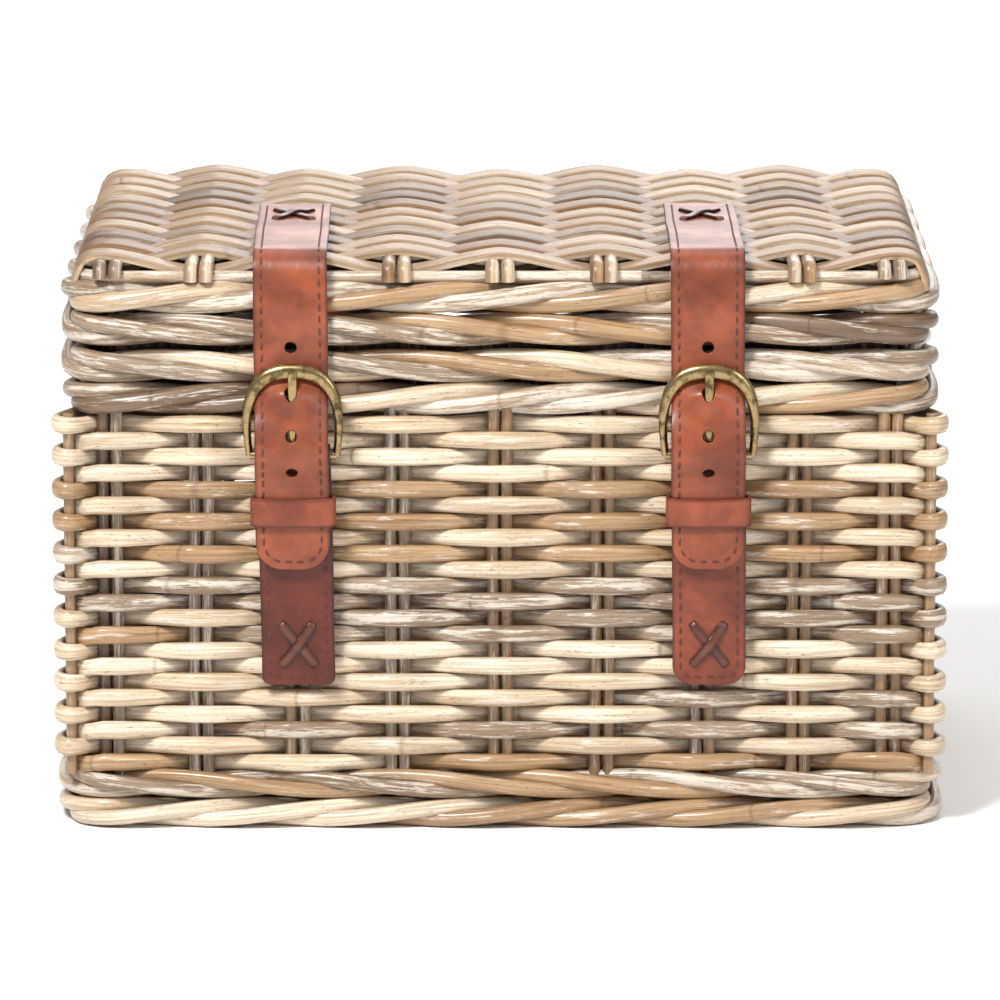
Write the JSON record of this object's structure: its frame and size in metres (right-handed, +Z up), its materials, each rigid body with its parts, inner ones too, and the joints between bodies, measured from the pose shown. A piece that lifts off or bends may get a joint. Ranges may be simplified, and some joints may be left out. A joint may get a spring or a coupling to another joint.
{
  "type": "handlebar basket",
  "caption": "Rectangular woven rattan basket with a hinged lid, leather closing straps with brass buckles, and leather straps that hold it to a handlebar.",
  "frame": {"origin": "centre of the bounding box at the ground the foot stands on", "axes": "+Z up, +X to the right along the long side, the closing straps face -Y and the handlebar side is +Y"},
  "size_m": [0.3656, 0.3043, 0.2426],
  "materials": {
    "wicker_pale": "whitewashed rattan, matte",
    "wicker_tan": "natural rattan, dull satin",
    "wicker_grey": "weathered grey rattan, matte",
    "wicker_brown": "dark rattan, matte",
    "leather_cognac": "cognac leather, satin",
    "leather_dark": "dark brown leather lace, satin",
    "brass_aged": "antiqued brass, satin"
  },
  "bodies": {
    "basket": {"foot_border_lower": "wicker_tan", "foot_border_upper": "wicker_grey", "base_stakes": "wicker_tan", "base_weave": "wicker_pale", "side_stakes": "wicker_tan", "corner_stakes": "wicker_brown", "outer_weave": "wicker_pale", "inner_weave": "wicker_tan", "rim_border_lower": "wicker_tan", "rim_border_upper": "wicker_grey", "inner_rim": "wicker_brown", "hinge_rod": "wicker_tan", "rod_ties": "leather_cognac", "left_chape": "leather_cognac", "left_chape_lace": "leather_dark", "right_chape": "leather_cognac", "right_chape_lace": "leather_dark", "left_bar_strap": "leather_cognac", "left_bar_strap_lace": "leather_dark", "left_bar_chape": "leather_cognac", "left_bar_chape_lace": "leather_dark", "right_bar_strap": "leather_cognac", "right_bar_strap_lace": "leather_dark", "right_bar_chape": "leather_cognac", "right_bar_chape_lace": "leather_dark"},
    "lid": {"lid_border_lower": "wicker_tan", "lid_border_upper": "wicker_grey", "lid_rim_rod": "wicker_pale", "lid_stakes": "wicker_tan", "lid_weave": "wicker_pale", "hinge_tabs": "leather_cognac", "hinge_lacing": "leather_dark", "left_lid_strap": "leather_cognac", "left_lid_strap_lace": "leather_dark", "right_lid_strap": "leather_cognac", "right_lid_strap_lace": "leather_dark"},
    "left_tail": {"left_lid_strap_tail": "leather_cognac"},
    "left_frame": {"left_buckle_frame": "brass_aged"},
    "left_prong": {"left_buckle_prong": "brass_aged"},
    "left_loop": {"left_keeper": "leather_cognac"},
    "right_tail": {"right_lid_strap_tail": "leather_cognac"},
    "right_frame": {"right_buckle_frame": "brass_aged"},
    "right_prong": {"right_buckle_prong": "brass_aged"},
    "right_loop": {"right_keeper": "leather_cognac"},
    "left_bar_tail": {"left_bar_strap_tail": "leather_cognac"},
    "left_bar_frame": {"left_bar_buckle_frame": "brass_aged"},
    "left_bar_prong": {"left_bar_buckle_prong": "brass_aged"},
    "left_bar_loop": {"left_bar_keeper": "leather_cognac"},
    "right_bar_tail": {"right_bar_strap_tail": "leather_cognac"},
    "right_bar_frame": {"right_bar_buckle_frame": "brass_aged"},
    "right_bar_prong": {"right_bar_buckle_prong": "brass_aged"},
    "right_bar_loop": {"right_bar_keeper": "leather_cognac"}
  },
  "joints": [
    {"name": "lid_hinge", "type": "hinge", "parent": "basket", "child": "lid", "pos_m": [0, 0.12795, 0.19915], "axis": [-1, 0, 0], "range_deg": [0, 105]},
    {"name": "left_tail_bend", "type": "hinge", "parent": "lid", "child": "left_tail", "pos_m": [-0.0845, -0.14095, 0.1999], "axis": [-1, 0, 0], "range_deg": [-80, 0], "deforming": ["left_lid_strap_tail"]},
    {"name": "left_frame_tilt", "type": "hinge", "parent": "basket", "child": "left_frame", "pos_m": [-0.0845, -0.14425, 0.157], "axis": [1, 0, 0], "range_deg": [0, 96]},
    {"name": "left_prong_swing", "type": "hinge", "parent": "left_frame", "child": "left_prong", "pos_m": [-0.0845, -0.14425, 0.157], "axis": [1, 0, 0], "range_deg": [0, 18]},
    {"name": "left_keeper_slide", "type": "slide", "parent": "basket", "child": "left_loop", "axis": [0, 0, 1], "range_m": [0, 0.005]},
    {"name": "right_tail_bend", "type": "hinge", "parent": "lid", "child": "right_tail", "pos_m": [0.0845, -0.14095, 0.1999], "axis": [-1, 0, 0], "range_deg": [-80, 0], "deforming": ["right_lid_strap_tail"]},
    {"name": "right_frame_tilt", "type": "hinge", "parent": "basket", "child": "right_frame", "pos_m": [0.0845, -0.14425, 0.157], "axis": [1, 0, 0], "range_deg": [0, 96]},
    {"name": "right_prong_swing", "type": "hinge", "parent": "right_frame", "child": "right_prong", "pos_m": [0.0845, -0.14425, 0.157], "axis": [1, 0, 0], "range_deg": [0, 18]},
    {"name": "right_keeper_slide", "type": "slide", "parent": "basket", "child": "right_loop", "axis": [0, 0, 1], "range_m": [0, 0.005]},
    {"name": "left_bar_frame_tilt", "type": "hinge", "parent": "basket", "child": "left_bar_frame", "pos_m": [-0.074, 0.12615, 0.09], "axis": [-1, 0, 0], "range_deg": [0, 90]},
    {"name": "left_bar_prong_swing", "type": "hinge", "parent": "left_bar_frame", "child": "left_bar_prong", "pos_m": [-0.074, 0.12615, 0.09], "axis": [-1, 0, 0], "range_deg": [0, 15]},
    {"name": "left_bar_tail_bend", "type": "hinge", "parent": "basket", "child": "left_bar_tail", "pos_m": [-0.074, 0.14357, 0.13767], "axis": [1, 0, 0], "range_deg": [0, 60], "deforming": ["left_bar_strap_tail"]},
    {"name": "left_bar_keeper_slide", "type": "slide", "parent": "basket", "child": "left_bar_loop", "axis": [0, 0, 1], "range_m": [0, 0.005]},
    {"name": "right_bar_frame_tilt", "type": "hinge", "parent": "basket", "child": "right_bar_frame", "pos_m": [0.074, 0.12615, 0.09], "axis": [-1, 0, 0], "range_deg": [0, 90]},
    {"name": "right_bar_prong_swing", "type": "hinge", "parent": "right_bar_frame", "child": "right_bar_prong", "pos_m": [0.074, 0.12615, 0.09], "axis": [-1, 0, 0], "range_deg": [0, 15]},
    {"name": "right_bar_tail_bend", "type": "hinge", "parent": "basket", "child": "right_bar_tail", "pos_m": [0.074, 0.14357, 0.13767], "axis": [1, 0, 0], "range_deg": [0, 60], "deforming": ["right_bar_strap_tail"]},
    {"name": "right_bar_keeper_slide", "type": "slide", "parent": "basket", "child": "right_bar_loop", "axis": [0, 0, 1], "range_m": [0, 0.005]}
  ],
  "couplings": [
    {"joint": "left_tail_bend", "follows": "lid_hinge", "ratio": -0.75},
    {"joint": "left_frame_tilt", "follows": "lid_hinge", "ratio": 0.9},
    {"joint": "left_prong_swing", "follows": "lid_hinge", "ratio": 0.15},
    {"joint": "right_tail_bend", "follows": "lid_hinge", "ratio": -0.75},
    {"joint": "right_frame_tilt", "follows": "lid_hinge", "ratio": 0.9},
    {"joint": "right_prong_swing", "follows": "lid_hinge", "ratio": 0.15},
    {"joint": "left_bar_prong_swing", "follows": "left_bar_frame_tilt", "ratio": 0.15},
    {"joint": "left_bar_tail_bend", "follows": "left_bar_frame_tilt", "ratio": 0.6},
    {"joint": "right_bar_prong_swing", "follows": "right_bar_frame_tilt", "ratio": 0.15},
    {"joint": "right_bar_tail_bend", "follows": "right_bar_frame_tilt", "ratio": 0.6}
  ]
}
